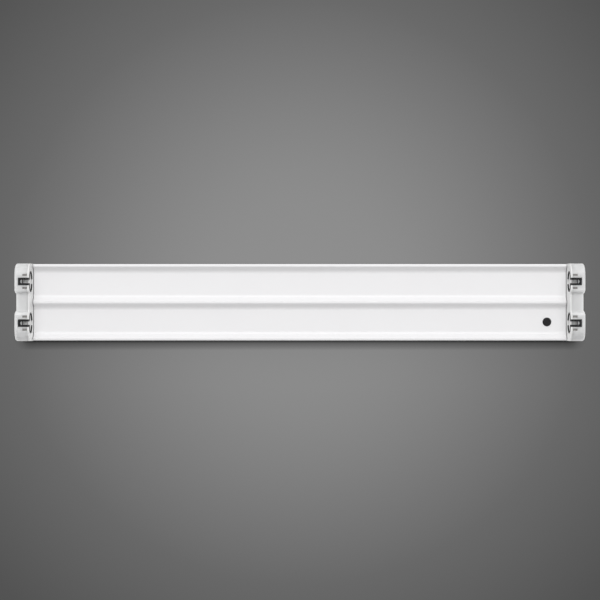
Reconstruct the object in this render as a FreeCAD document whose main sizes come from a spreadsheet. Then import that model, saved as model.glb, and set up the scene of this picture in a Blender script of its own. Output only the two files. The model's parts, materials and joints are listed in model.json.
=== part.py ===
"""Twin tube light fixture for a ceiling, without its tubes, in millimetres.

The mounting face lies in the plane z = 0 and the fixture hangs below it. X runs along the length. Depths are
measured down from the mounting face, so a depth of d lies at z = -d. Lamp a lies at -Y and lamp b at +Y.
"""
import FreeCAD, Part
import Sketcher
import math
import os
import re

# Driving dimensions
SIZES = {
    # Lamps and lampholders
    "holder_spacing": 591.0,
    "lamp_side_inset": 19.55,
    "lamp_front_inset": 15.0,
    # Reflector cover
    "cover_width": 84.5,
    "cover_sheet": 0.6,
    "end_gap": 0.6,
    "lip_depth": 38.0,
    "trough_drop": 6.0,
    "lip_width": 2.9,
    "slope_run": 4.5,
    "ridge_width": 2.5,
    "lip_round": 1.4,
    "bend_round": 0.9,
    "foot_round": 5.0,
    "skirt_start": 14.0,
    # Blanking plug in the cover
    "plug_end_inset": 21.1,
    "plug_side_inset": 20.45,
    "plug_hole": 3.6,
    "plug_flange": 4.8,
    "plug_flange_height": 1.1,
    "plug_neck_play": 0.05,
    "plug_barb": 4.3,
    "plug_barb_height": 1.6,
    "plug_dimple": 2.6,
    "plug_dimple_depth": 0.35,
    # Base channel
    "base_sheet": 0.8,
    "base_round": 1.6,
    "groove_near": 17.0,
    "groove_side_inset": 11.25,
    "groove_ramp": 2.0,
    "groove_rise": 3.0,
    "skirt_gap": 0.4,
    "flange_inset": 1.9,
    "flange_ramp": 1.2,
    "flange_end": 24.0,
    "fixing_end_inset": 95.5,
    "fixing_slot_width": 5.2,
    "fixing_slot_length": 14.0,
    "entry_place": -110.0,
    "entry_radius": 10.2,
    "knockout_end_inset": 57.5,
    "knockout_radius": 9.8,
    "knockout_cut": 0.7,
    "knockout_bridge": 2.4,
    "thread_play": 0.05,
    "seat_play": 0.1,
    # Cable grommet
    "grommet_flange": 13.0,
    "grommet_lip": 1.8,
    "grommet_snout": 5.4,
    "grommet_bore": 4.6,
    "grommet_play": 0.1,
    # End caps
    "cap_length": 15.9,
    "cap_overhang": 0.25,
    "cap_wall": 2.0,
    "hump_depth": 70.0,
    "hump_half": 10.8,
    "hump_slope_run": 1.6,
    "hump_round": 14.0,
    "hump_edge_round": 2.6,
    "waist_drop": 5.0,
    "waist_recess": 1.7,
    "waist_flat_inset": 1.3,
    "waist_slope_run": 2.4,
    "cap_end_round": 2.4,
    "cap_base_round": 2.6,
    "plate_thickness": 1.8,
    "plate_window_margin": 5.5,
    "plate_window_low": 3.2,
    "plate_window_high": 27.0,
    "tongue_length": 14.0,
    "tongue_thickness": 2.0,
    "tongue_margin": 1.0,
    "cradle_wall": 1.5,
    "cradle_play": 0.1,
    "cradle_start": 4.5,
    "post_radius": 2.35,
    "post_start": 8.8,
    # Notch, guide and contact windows in each hump
    "notch_half": 4.1,
    "notch_length": 11.8,
    "notch_depth": 1.7,
    "pocket_wall": 1.4,
    "pocket_gap": 0.9,
    "guide_inset": 0.1,
    "guide_play": 0.05,
    "pin_passage_half": 1.9,
    "pin_passage_length": 6.5,
    "bar_width": 0.85,
    "bar_height": 1.2,
    "eye_radius": 2.15,
    "eye_place": 7.35,
    "peg_play": 0.1,
    "peg_sink": 1.1,
    "window_near": 5.95,
    "window_far": 8.35,
    "window_start": 1.9,
    "window_end": 7.1,
    # Rotors
    "disc_radius": 10.15,
    "disc_thickness": 0.9,
    "disc_inset": 0.75,
    "ring_gap": 1.35,
    "ring_wall": 1.0,
    "ring_proud": 0.5,
    "ring_break_half": 2.7,
    "drum_radius": 8.5,
    "drum_end": 10.7,
    "pin_slot_half": 1.65,
    "pin_slot_end": 7.3,
    "bearing_play": 0.08,
    "bearing_start": 8.6,
    # Contact springs
    "contact_sheet": 0.4,
    "contact_width": 5.0,
    "contact_play": 0.2,
    "contact_front_gap": 1.1,
    "contact_tip_half": 1.05,
    "contact_bend_reach": 6.0,
    "contact_near": 7.15,
    "contact_reach": 10.8,
    "contact_tail_reach": 15.0,
    "crimp_half": 1.2,
    "crimp_height": 4.5,
    "rib_wall": 1.2,
    "rib_play": 0.15,
    "rib_near": 5.0,
    "rib_far": 12.0,
    # Screws
    "screw_radius": 1.7,
    "screw_head": 3.3,
    "screw_head_height": 1.2,
    "screw_dome": 0.9,
    "screw_tip_depth": 0.8,
    "cross_width": 0.8,
    "cross_length": 3.4,
    "cross_depth": 1.3,
    "cap_screw_inset": 7.5,
    # Cover clips
    "clip_end_inset": 155.5,
    "clip_length": 12.0,
    "clip_sheet": 0.4,
    "clip_play": 0.1,
    "clip_outer_leg": 6.5,
    "clip_inner_leg": 8.0,
    "clip_bulge": 0.55,
    # Ballast
    "ballast_start": -20.0,
    "ballast_length": 190.0,
    "ballast_side_gap": 14.25,
    "ballast_height": 21.0,
    "ballast_sheet": 0.7,
    "ballast_ear": 9.0,
    "lid_play": 0.1,
    "lid_skirt": 5.0,
    "board_rise": 4.0,
    "board_thickness": 1.6,
    "board_margin": 2.5,
    "standoff_radius": 2.2,
    "standoff_inset": 23.75,
    "standoff_side_inset": 7.0,
    "terminal_strip": 9.0,
    "terminal_strip_height": 9.5,
    "terminal_strip_margin": 3.0,
    "terminal_strip_inset": 7.0,
    "wire_entry_play": 0.15,
    "wire_entry_depth": 5.0,
    "core_length": 22.0,
    "core_width": 18.0,
    "core_height": 11.0,
    "core_wall": 3.5,
    "core_leg": 3.0,
    "core_inset": 48.0,
    "winding_play": 0.3,
    "capacitor_radius": 5.0,
    "capacitor_side_gap": 7.7,
    "capacitor_inset": 94.0,
    "sink_length": 30.0,
    "sink_height": 13.0,
    "sink_thickness": 1.8,
    "sink_foot": 6.0,
    "sink_end_inset": 38.0,
    # Mains terminal block
    "block_gap": 46.0,
    "block_length": 18.0,
    "block_width": 24.0,
    "block_height": 13.0,
    "block_flange": 2.2,
    "block_ear": 11.0,
    "block_wall": 1.4,
    "pole_pitch": 7.0,
    "pole_height": 7.0,
    "insert_half": 2.1,
    "insert_play": 0.1,
    "clamp_screw_radius": 1.5,
    "clamp_screw_length": 3.5,
    "clamp_slot": 0.6,
    "clamp_slot_depth": 0.8,
    "clamp_screw_place": 4.8,
    # Earth stud
    "earth_place": -145.0,
    "stud_radius": 2.0,
    "stud_length": 11.0,
    "stud_head_radius": 3.6,
    "stud_head_height": 1.4,
    "nut_across": 7.0,
    "nut_height": 3.2,
    "washer_radius": 4.5,
    "washer_height": 0.8,
    "lug_radius": 4.0,
    "lug_height": 0.8,
    "stack_play": 0.05,
    # Internal wires
    "wire_radius": 0.9,
    "wire_depth": 13.0,
    "wire_end_play": 0.1,
    "wire_bend": 7.0,
    "wire_sweep": 18.0,
    "lane_near_inset": 8.55,
    "lane_far_inset": 5.75,
    "right_fan_inset": 33.5,
    "right_fan_share": 0.543,
    "left_fan_inset": 27.5,
    "left_fan_run": 32.0,
    "left_gather_gap": 13.5,
    "left_gather_run": 28.0,
    # Wire clips
    "saddle_first_share": 0.33,
    "saddle_second_share": 0.86,
    "saddle_length": 7.0,
    "saddle_wall": 1.0,
    "saddle_play": 0.15,
}

# Sums that several pieces share
HOLDER_FACE = "holder_spacing / 2"
COVER_END = "(holder_spacing / 2 - end_gap)"
CAP_END = "(holder_spacing / 2 + cap_length)"
CAP_HALF = "(cover_width / 2 + cap_overhang)"
FLOOR_DEPTH = "(lip_depth - trough_drop)"
LAMP_Y = "(cover_width / 2 - lamp_side_inset)"
LAMP_DEPTH = "(hump_depth - lamp_front_inset)"
LAMP_Z = f"-{LAMP_DEPTH}"
HUMP_NEAR = f"({LAMP_Y} - hump_half)"
WAIST_HALF = f"({LAMP_Y} - hump_half - hump_slope_run)"
WAIST_FLAT = f"({WAIST_HALF} - waist_flat_inset)"
WAIST_DEPTH = "(hump_depth - waist_drop)"
NOTCH_LOW = "(hump_depth - notch_depth)"
DRUM_TOP = f"({LAMP_DEPTH} + drum_radius)"
RING_TOP = f"({LAMP_DEPTH} + disc_radius)"
CONTACT_TAIL = f"({LAMP_DEPTH} - contact_tail_reach)"
GROOVE_FAR = "(cover_width / 2 - groove_side_inset)"
GROOVE_MIDDLE = f"(groove_near + {GROOVE_FAR}) / 2"
GROOVE_TOP = "groove_rise + base_sheet"
SEAT_DEPTH = "groove_rise + base_sheet + seat_play"
PLUG_CENTRE = (f"{COVER_END} - plug_end_inset", "cover_width / 2 - plug_side_inset")
BALLAST_HALF = "(cover_width / 2 - ballast_side_gap)"
BALLAST_END = "(ballast_start + ballast_length)"
BLOCK_PLACE = "(ballast_start - block_gap)"
LANE_NEAR = "(cover_width / 2 - lane_near_inset)"
LANE_FAR = "(cover_width / 2 - lane_far_inset)"
OVERRUN = "cap_wall"

doc = FreeCAD.newDocument("TubeLightFixture")
sheet = doc.addObject("Spreadsheet::Sheet", "Sizes")
for row, (alias, value) in enumerate(SIZES.items(), 1):
    sheet.set(f"A{row}", alias)
    sheet.set(f"B{row}", str(value))
    sheet.setAlias(f"B{row}", alias)
doc.recompute()

nodes = {}


def bound(text):
    """The sum with each size's name turned into its cell."""
    return re.sub(r"[a-z_]+", lambda word: "Sizes." + word.group() if word.group() in SIZES else word.group(), text)


def number(text):
    """The value of a sum of sizes."""
    return float(sheet.evalExpression(bound(text)))


def bind(thing, field, text):
    """Ties a field of an object to a sum of sizes."""
    thing.setExpression(field, bound(text))


def node(name, solid):
    """Names a finished sub-part."""
    solid.Label = name
    nodes[name] = solid
    return solid


def box(name, across, along, up):
    """A box between the low and high sums given for X, Y and Z."""
    solid = doc.addObject("Part::Box", name)
    for side, letter, (low, high) in zip(("Length", "Width", "Height"), "xyz", (across, along, up)):
        bind(solid, side, f"({high}) - ({low})")
        bind(solid, f"Placement.Base.{letter}", low)
    return solid


TURNS = {
    "x": FreeCAD.Rotation(FreeCAD.Vector(0, 1, 0), 90),
    "y": FreeCAD.Rotation(FreeCAD.Vector(1, 0, 0), -90),
    "z": FreeCAD.Rotation(),
}


def along_axis(solid, way, centre, low, high):
    """Lays a round primitive along an axis, through a centre given as sums for the other two axes."""
    solid.Placement = FreeCAD.Placement(FreeCAD.Vector(), TURNS[way])
    bind(solid, "Height", f"({high}) - ({low})")
    others = [letter for letter in "xyz" if letter != way]
    bind(solid, f"Placement.Base.{way}", low)
    for letter, place in zip(others, centre):
        bind(solid, f"Placement.Base.{letter}", place)
    return solid


def rod(name, way, centre, radius, low, high):
    """A cylinder along an axis."""
    solid = doc.addObject("Part::Cylinder", name)
    bind(solid, "Radius", radius)
    return along_axis(solid, way, centre, low, high)


def cone(name, way, centre, radii, low, high):
    """A cone along an axis, with its radius at the low and the high end."""
    solid = doc.addObject("Part::Cone", name)
    bind(solid, "Radius1", radii[0])
    bind(solid, "Radius2", radii[1])
    return along_axis(solid, way, centre, low, high)


def joined(name, *pieces):
    """One solid from overlapping or touching pieces."""
    solid = doc.addObject("Part::MultiFuse", name)
    solid.Shapes = list(pieces)
    solid.Refine = True
    return solid


def cut(name, base, *tools):
    """The base without the tools."""
    solid = doc.addObject("Part::Cut", name)
    solid.Base = base
    solid.Tool = tools[0] if len(tools) == 1 else joined(name + "_tools", *tools)
    solid.Refine = True
    return solid


def group(name, pieces):
    """Separate solids kept together as one sub-part."""
    solid = doc.addObject("Part::Compound", name)
    solid.Links = list(pieces)
    return solid


def mirrored(name, source, letter):
    """The source on the other side of the fixture."""
    solid = doc.addObject("Part::Mirroring", name)
    solid.Source = source
    solid.Normal = FreeCAD.Vector(*[float(letter == other) for other in "xyz"])
    return solid


def runs_through(edge, plane, places):
    """Whether a straight edge stands square to the plane at one of the places."""
    ends = [tuple(getattr(vertex, letter) for letter in plane) for vertex in edge.Vertexes]
    if len(ends) != 2 or not isinstance(edge.Curve, Part.Line):
        return False
    return any(max(math.dist(end, place) for end in ends) < 1e-4 for place in places)


def prism(name, plane, outline, low, high, rounds=()):
    """A padded sketch, whose corners are sums of sizes, with some corners rounded."""
    body = doc.addObject("PartDesign::Body", name)
    face = next(feature for feature in body.Origin.OriginFeatures if feature.Role == plane + "_Plane")
    sketch = body.newObject("Sketcher::SketchObject", name + "_outline")
    sketch.AttachmentSupport = [(face, "")]
    sketch.MapMode = "FlatFace"
    bind(sketch, "AttachmentOffset.Base.z", low)
    corners = [(number(across), number(up)) for across, up in outline]
    for start, end in zip(corners, corners[1:] + corners[:1]):
        sketch.addGeometry(Part.LineSegment(FreeCAD.Vector(*start, 0), FreeCAD.Vector(*end, 0)), False)
    for line, corner in enumerate(outline):
        sketch.addConstraint(Sketcher.Constraint("Coincident", line, 2, (line + 1) % len(outline), 1))
        for kind, text in zip(("DistanceX", "DistanceY"), corner):
            rule = sketch.addConstraint(Sketcher.Constraint(kind, -1, 1, line, 1, number(text)))
            bind(sketch, f"Constraints[{rule}]", text)
    tip = body.newObject("PartDesign::Pad", name + "_pad")
    tip.Profile = sketch
    bind(tip, "Length", f"({high}) - ({low})")
    for radius, corners in rounds:
        doc.recompute()
        places = [(number(across), number(up)) for across, up in corners]
        edges = [f"Edge{count}" for count, edge in enumerate(tip.Shape.Edges, 1)
                 if runs_through(edge, plane, places)]
        fillet = body.newObject("PartDesign::Fillet", name + "_round")
        fillet.Base = (tip, edges)
        bind(fillet, "Radius", radius)
        tip = fillet
    return body


def rounded(name, solid, radius, chosen):
    """The solid with the edges rounded that chosen picks out."""
    doc.recompute()
    fillet = doc.addObject("Part::Fillet", name)
    fillet.Base = solid
    size = number(radius)
    fillet.Edges = [(count, size, size) for count, edge in enumerate(solid.Shape.Edges, 1) if chosen(edge)]
    return fillet


def flipped(places):
    """The same places on the -Y side."""
    return [(f"-({across})", up) for across, up in places]


def both_sides(half):
    """A closed outline from its +Y half, listed from the middle out and back to the middle."""
    return half + flipped(reversed(half))


def bend_shift(thickness, rise, run):
    """How far a sheet's inner corner moves along its flat at a bend."""
    return f"{thickness} * tan(atan({rise} / {run}) / 2)"


def tube(name, route, radius, bends):
    """A wire of straight runs joined by tangent arcs, through a route given as sums."""
    points = [FreeCAD.Vector(*[number(text) for text in point]) for point in route]
    edges = []
    start = points[0]
    for before, corner, after, bend in zip(points, points[1:], points[2:], bends):
        back = (before - corner).normalize()
        ahead = (after - corner).normalize()
        half_turn = (math.pi - back.getAngle(ahead)) / 2
        reach = number(bend) * math.tan(half_turn)
        entry = corner + back * reach
        leave = corner + ahead * reach
        middle_way = (back + ahead).normalize()
        middle = corner + middle_way * (number(bend) / math.cos(half_turn) - number(bend))
        edges.append(Part.LineSegment(start, entry).toShape())
        edges.append(Part.Arc(entry, middle, leave).toShape())
        start = leave
    edges.append(Part.LineSegment(start, points[-1]).toShape())
    spine = Part.Wire(edges)
    first_way = (points[1] - points[0]).normalize()
    ring = Part.Wire([Part.Circle(points[0], first_way, number(radius)).toShape()])
    wire = doc.addObject("Part::Feature", name)
    wire.Shape = spine.makePipeShell([ring], True, False)
    return wire


def screw(name, across, along, seat):
    """A pan-head screw driven up from a seat's depth, with a cross in its head."""
    head_top = f"{seat} + screw_head_height"
    crown = f"{head_top} + screw_dome"
    centre = (across, along)
    head = rod(name + "_head", "z", centre, "screw_head", f"-({head_top})", f"-({seat})")
    dome = cone(name + "_dome", "z", centre, ("screw_head - screw_dome", "screw_head"), f"-({crown})",
                f"-({head_top})")
    shank = rod(name + "_shank", "z", centre, "screw_radius", f"-({seat})", "-screw_tip_depth")
    crosses = [
        box(f"{name}_cross_{turn}",
            (f"{across} - {wide} / 2", f"{across} + {wide} / 2"),
            (f"{along} - {deep} / 2", f"{along} + {deep} / 2"),
            (f"-({crown} + {OVERRUN})", f"-({crown} - cross_depth)"))
        for turn, wide, deep in (("one", "cross_length", "cross_width"), ("two", "cross_width", "cross_length"))
    ]
    return cut(name, joined(name + "_body", head, dome, shank), *crosses)


def screw_hole(name, across, along):
    """A hole for a screw through the bottom of a stiffening groove."""
    return rod(name, "z", (across, along), "screw_radius + thread_play", f"-({GROOVE_TOP} + {OVERRUN})", OVERRUN)


def make_cover():
    """The folded reflector cover, with its two troughs, and the plug in it."""
    half = "cover_width / 2"
    shift = bend_shift("cover_sheet", "trough_drop", "slope_run")
    ridge = "ridge_width / 2"
    inner_foot = f"{ridge} + slope_run"
    lip_edge = f"{half} - lip_width"
    outer_foot = f"{lip_edge} - slope_run"
    front = [
        (ridge, "-lip_depth"),
        (inner_foot, f"-({FLOOR_DEPTH})"),
        (outer_foot, f"-({FLOOR_DEPTH})"),
        (lip_edge, "-lip_depth"),
        (half, "-lip_depth"),
        (half, "-skirt_start"),
    ]
    back = [
        (f"{half} - cover_sheet", "-skirt_start"),
        (f"{half} - cover_sheet", "-(lip_depth - cover_sheet)"),
        (f"{lip_edge} + {shift}", "-(lip_depth - cover_sheet)"),
        (f"{outer_foot} + {shift}", f"-({FLOOR_DEPTH} - cover_sheet)"),
        (f"{inner_foot} - {shift}", f"-({FLOOR_DEPTH} - cover_sheet)"),
        (f"{ridge} - {shift}", "-(lip_depth - cover_sheet)"),
    ]
    corners = {
        "lip_round": [front[4]],
        "lip_round - cover_sheet": [back[1]],
        "bend_round": [front[0], front[3]],
        "bend_round - cover_sheet": [back[2], back[5]],
        "foot_round": front[1:3],
        "foot_round + cover_sheet": back[3:5],
    }
    rounds = [(radius, places + flipped(places)) for radius, places in corners.items()]
    sheet_metal = prism("cover_sheet_metal", "YZ", both_sides(front + back), f"-({COVER_END})", COVER_END, rounds)
    hole = rod("plug_hole_tool", "z", PLUG_CENTRE, "plug_hole", "-lip_depth", "-skirt_start")
    node("reflector_cover", cut("cover", sheet_metal, hole))


def make_plug():
    """The black rubber plug, with a neck through the cover and a barb behind it."""
    centre = PLUG_CENTRE
    front = FLOOR_DEPTH
    behind = f"{FLOOR_DEPTH} - cover_sheet"
    flange_edge = f"-({front} + plug_flange_height / 2)"
    crown = f"-({front} + plug_flange_height)"
    flange = rod("plug_flange_disc", "z", centre, "plug_flange", flange_edge, f"-({front})")
    dome = cone("plug_dome", "z", centre, ("plug_flange - plug_flange_height", "plug_flange"), crown, flange_edge)
    neck = rod("plug_neck", "z", centre, "plug_hole - plug_neck_play", f"-({front})", f"-({behind})")
    barb = cone("plug_barb_cone", "z", centre, ("plug_barb", "plug_hole - plug_barb_height / 2"), f"-({behind})",
                f"-({behind} - plug_barb_height)")
    dimple = rod("plug_dimple_tool", "z", centre, "plug_dimple", f"-({front} + plug_flange_height + {OVERRUN})",
                 f"-({front} + plug_flange_height - plug_dimple_depth)")
    node("blanking_plug", cut("plug", joined("plug_solid", flange, dome, neck, barb), dimple))


def knockout(name, across):
    """A round slug that is cut free all round but for two bridges."""
    centre = (across, "0")
    low = f"-(base_sheet + {OVERRUN})"
    outer = rod(name + "_outer", "z", centre, "knockout_radius", low, OVERRUN)
    inner = rod(name + "_inner", "z", centre, "knockout_radius - knockout_cut", low, OVERRUN)
    ring = cut(name + "_ring", outer, inner)
    bridge = box(name + "_bridge", (f"{across} - knockout_radius", f"{across} + knockout_radius"),
                 ("-knockout_bridge / 2", "knockout_bridge / 2"), (low, OVERRUN))
    return cut(name, ring, bridge)


def fixing_slot(name, across):
    """A mounting slot on the centre line, along the fixture."""
    low = f"-(base_sheet + {OVERRUN})"
    radius = "fixing_slot_width / 2"
    reach = "(fixing_slot_length - fixing_slot_width) / 2"
    ends = [rod(f"{name}_{end}", "z", (f"{across} {sign} {reach}", "0"), radius, low, OVERRUN)
            for end, sign in (("low", "-"), ("high", "+"))]
    middle = box(name + "_middle", (f"{across} - {reach}", f"{across} + {reach}"), (f"-{radius}", radius),
                 (low, OVERRUN))
    return joined(name, *ends, middle)


CAP_SCREW_X = f"{HOLDER_FACE} - cap_screw_inset"


def groove_screw_places():
    """Each screw that is driven into a stiffening groove, by its user."""
    cap = [(f"{side}({CAP_SCREW_X})", f"{flank}({GROOVE_MIDDLE})") for side in ("", "-") for flank in ("", "-")]
    ballast = [
        ("ballast_start - ballast_ear / 2", GROOVE_MIDDLE),
        (f"{BALLAST_END} + ballast_ear / 2", f"-({GROOVE_MIDDLE})"),
    ]
    block = [(BLOCK_PLACE, f"{flank}({GROOVE_MIDDLE})") for flank in ("", "-")]
    return {"cap": cap, "ballast": ballast, "block": block}


def make_base():
    """The folded channel that everything is built on."""
    half = "cover_width / 2"
    groove_shift = bend_shift("base_sheet", "groove_rise", "groove_ramp")
    flange_shift = bend_shift("base_sheet", "flange_inset", "flange_ramp")
    band = "skirt_start - skirt_gap"
    back = [
        ("groove_near", "0"),
        ("groove_near + groove_ramp", "-groove_rise"),
        (f"{GROOVE_FAR} - groove_ramp", "-groove_rise"),
        (GROOVE_FAR, "0"),
        (half, "0"),
        (half, f"-({band})"),
        (f"{half} - flange_inset", f"-({band} + flange_ramp)"),
        (f"{half} - flange_inset", "-flange_end"),
    ]
    inside = [
        (f"{half} - flange_inset - base_sheet", "-flange_end"),
        (f"{half} - flange_inset - base_sheet", f"-({band} + flange_ramp - {flange_shift})"),
        (f"{half} - base_sheet", f"-({band} - {flange_shift})"),
        (f"{half} - base_sheet", "-base_sheet"),
        (f"{GROOVE_FAR} + {groove_shift}", "-base_sheet"),
        (f"{GROOVE_FAR} - groove_ramp + {groove_shift}", f"-({GROOVE_TOP})"),
        (f"groove_near + groove_ramp - {groove_shift}", f"-({GROOVE_TOP})"),
        (f"groove_near - {groove_shift}", "-base_sheet"),
    ]
    rounds = [
        ("base_round", [back[4]] + flipped([back[4]])),
        ("base_round - base_sheet", [inside[3]] + flipped([inside[3]])),
    ]
    sheet_metal = prism("base_sheet_metal", "YZ", both_sides(back + inside), f"-({COVER_END})", COVER_END, rounds)
    places = [place for user in groove_screw_places().values() for place in user]
    holes = [screw_hole(f"base_screw_hole_{count}", *place) for count, place in enumerate(places)]
    stud_hole = rod("stud_hole", "z", ("earth_place", GROOVE_MIDDLE), "stud_radius + thread_play",
                    f"-({GROOVE_TOP} + {OVERRUN})", OVERRUN)
    entry = rod("cable_entry", "z", ("entry_place", "0"), "entry_radius", f"-(base_sheet + {OVERRUN})", OVERRUN)
    slots = [fixing_slot(f"fixing_slot_{side}", f"{sign}({HOLDER_FACE} - fixing_end_inset)")
             for side, sign in (("right", ""), ("left", "-"))]
    knockouts = [knockout(f"knockout_{side}", f"{sign}({HOLDER_FACE} - knockout_end_inset)")
                 for side, sign in (("right", ""), ("left", "-"))]
    node("base_channel", cut("base", sheet_metal, *holes, stud_hole, entry, *slots, *knockouts))


def make_grommet():
    """The rubber grommet of the cable entry, with a lip on the room side of the sheet."""
    centre = ("entry_place", "0")
    neck = rod("grommet_neck", "z", centre, "entry_radius - grommet_play", "-base_sheet", "0")
    lip = cone("grommet_lip_ring", "z", centre, ("grommet_flange - grommet_lip / 2", "grommet_flange"),
               "-(base_sheet + grommet_lip)", "-base_sheet")
    snout = cone("grommet_snout", "z", centre, ("grommet_bore + grommet_lip", "entry_radius - grommet_lip"),
                 "-(base_sheet + grommet_lip + grommet_snout)", "-(base_sheet + grommet_lip)")
    bore = rod("grommet_bore_tool", "z", centre, "grommet_bore",
               f"-(base_sheet + grommet_lip + grommet_snout + {OVERRUN})", OVERRUN)
    node("cable_grommet", cut("grommet", joined("grommet_solid", neck, lip, snout), bore))


def cap_outline():
    """The +Y half of an end cap seen along the fixture, from the waist out and back along the ceiling."""
    return [
        (WAIST_HALF, f"-{WAIST_DEPTH}"),
        (HUMP_NEAR, "-hump_depth"),
        (CAP_HALF, "-hump_depth"),
        (CAP_HALF, "0"),
    ]


def cavity_outline():
    """The +Y half of the hollow in an end cap."""
    return [
        (f"{WAIST_HALF} + cap_wall", f"-({WAIST_DEPTH} - cap_wall)"),
        (f"{HUMP_NEAR} + cap_wall", "-(hump_depth - cap_wall)"),
        (f"{CAP_HALF} - cap_wall", "-(hump_depth - cap_wall)"),
        (f"{CAP_HALF} - cap_wall", "-cap_wall"),
    ]


def cap_rounds(outline, shrink):
    """The rounded corners of a cap's outline, with radii made smaller for its hollow."""
    return [
        (f"hump_round - {shrink}", [outline[2]] + flipped([outline[2]])),
        (f"hump_edge_round - {shrink} / 2", outline[:2] + flipped(outline[:2])),
        (f"cap_base_round - {shrink} / 2", [outline[3]] + flipped([outline[3]])),
    ]


def holder_box(name, near, far, start, end, low, high, flank):
    """A box beside a lamp's axis, between two distances from it and two from the holder's face."""
    ends = (f"{LAMP_Y} {flank} ({near})", f"{LAMP_Y} {flank} ({far})")
    along = ends if flank == "+" else ends[::-1]
    return box(name, (f"{HOLDER_FACE} + {start}", f"{HOLDER_FACE} + {end}"), along, (f"-({high})", f"-({low})"))


def lamp_tools(prefix, make):
    """A tool made for lamp b, and its mirror image for lamp a."""
    tool = make(prefix)
    return [tool, mirrored(prefix + "_a", tool, "y")]


def make_cap():
    """The right end cap: a shell with two humps and a waist, guide pockets, drum cradles and screw tongues."""
    outline = cap_outline()
    hollow = cavity_outline()
    start = f"{HOLDER_FACE} + plate_thickness"
    inner_end = f"{CAP_END} - cap_wall"
    skin = prism("cap_skin", "YZ", both_sides(outline), start, CAP_END, cap_rounds(outline, "0"))
    doc.recompute()
    end_place = number(CAP_END)
    soft_skin = rounded("cap_soft_skin", skin, "cap_end_round",
                        lambda edge: all(abs(vertex.X - end_place) < 1e-4 for vertex in edge.Vertexes)
                        and edge.CenterOfMass.z < -1e-4)
    cavity = prism("cap_cavity", "YZ", both_sides(hollow), f"{start} - {OVERRUN}", inner_end,
                   cap_rounds(hollow, "cap_wall"))
    shell = cut("cap_shell", soft_skin, cavity)
    waist_pad = box("waist_pad", (f"{inner_end} - waist_recess", f"{CAP_END} - cap_wall / 2"),
                    (f"-({WAIST_HALF} + cap_wall)", f"{WAIST_HALF} + cap_wall"),
                    (f"-({WAIST_DEPTH} - cap_wall / 2)", "-cap_wall / 2"))
    tongues = []
    for count, flank in enumerate(("", "-")):
        sides = (f"{flank}(groove_near + tongue_margin)", f"{flank}({GROOVE_FAR} - tongue_margin)")
        tongues.append(box(f"tongue_{count}", (f"{HOLDER_FACE} - tongue_length", f"{CAP_END} - cap_wall / 2"),
                           sides if flank == "" else sides[::-1],
                           (f"-({SEAT_DEPTH} + tongue_thickness)", f"-({SEAT_DEPTH})")))

    def cradle(name):
        ring = rod(name + "_outer", "x", (LAMP_Y, LAMP_Z), "drum_radius + cradle_play + cradle_wall",
                   f"{HOLDER_FACE} + cradle_start", f"{CAP_END} - cap_wall / 2")
        bore = rod(name + "_bore", "x", (LAMP_Y, LAMP_Z), "drum_radius + cradle_play",
                   f"{HOLDER_FACE} + cradle_start - {OVERRUN}", inner_end)
        upper = box(name + "_upper", (f"{HOLDER_FACE} + cradle_start - {OVERRUN}", inner_end),
                    (f"{LAMP_Y} - drum_radius - cradle_wall * 2", f"{LAMP_Y} + drum_radius + cradle_wall * 2"),
                    (f"{LAMP_Z} - drum_radius - cradle_wall * 2", LAMP_Z))
        return cut(name, ring, bore, upper)

    def post(name):
        return rod(name, "x", (LAMP_Y, LAMP_Z), "post_radius", f"{HOLDER_FACE} + post_start",
                   f"{CAP_END} - cap_wall / 2")

    def pocket(name):
        return box(name, (start, f"{CAP_END} - cap_wall / 2"),
                   (f"{LAMP_Y} - notch_half - pocket_wall", f"{LAMP_Y} + notch_half + pocket_wall"),
                   ("-(hump_depth - cap_wall / 2)", f"-({DRUM_TOP} + pocket_gap)"))

    def pin_way(name):
        return box(name, (f"{start} - {OVERRUN}", f"{HOLDER_FACE} + pin_passage_length"),
                   (f"{LAMP_Y} - pin_passage_half", f"{LAMP_Y} + pin_passage_half"),
                   (f"-({NOTCH_LOW} + {OVERRUN})", f"-({LAMP_DEPTH} + drum_radius / 2)"))

    def peg(name):
        full = rod(name + "_round", "z", (f"{HOLDER_FACE} + eye_place", LAMP_Y), "eye_radius - peg_play",
                   "-(hump_depth - peg_sink)", f"-({NOTCH_LOW} - cap_wall / 2)")
        flat = box(name + "_flat", (HOLDER_FACE, f"{HOLDER_FACE} + pin_passage_length + bar_width + guide_play"),
                   (f"{LAMP_Y} - eye_radius", f"{LAMP_Y} + eye_radius"), ("-hump_depth", f"-{LAMP_DEPTH}"))
        return cut(name, full, flat)

    body = joined("cap_body", shell, waist_pad, *tongues, *lamp_tools("cradle", cradle), *lamp_tools("post", post),
                  *lamp_tools("pocket", pocket))
    recess_end = f"({CAP_END} - waist_recess)"
    mouth = f"({WAIST_FLAT} + waist_slope_run * (waist_recess + {OVERRUN}) / waist_recess)"
    recess = prism("waist_recess_tool", "XY", [
        (recess_end, f"-{WAIST_FLAT}"),
        (f"{CAP_END} + {OVERRUN}", f"-{mouth}"),
        (f"{CAP_END} + {OVERRUN}", mouth),
        (recess_end, WAIST_FLAT),
    ], f"-(hump_depth + {OVERRUN})", OVERRUN)
    screw_holes = [rod(f"tongue_hole_{count}", "z", (CAP_SCREW_X, f"{flank}({GROOVE_MIDDLE})"),
                       "screw_radius + thread_play", f"-({SEAT_DEPTH} + tongue_thickness + {OVERRUN})",
                       f"-({SEAT_DEPTH}) + {OVERRUN}")
                   for count, flank in enumerate(("", "-"))]
    notches = lamp_tools("cap_notch", lambda name: notch(name, NOTCH_LOW))
    open_cap = cut("open_cap", body, recess, *screw_holes, *notches, *lamp_tools("cap_window", contact_windows),
                   *lamp_tools("pin_way", pin_way))
    node("end_cap_right", joined("cap", open_cap, *lamp_tools("peg", peg)))


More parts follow.
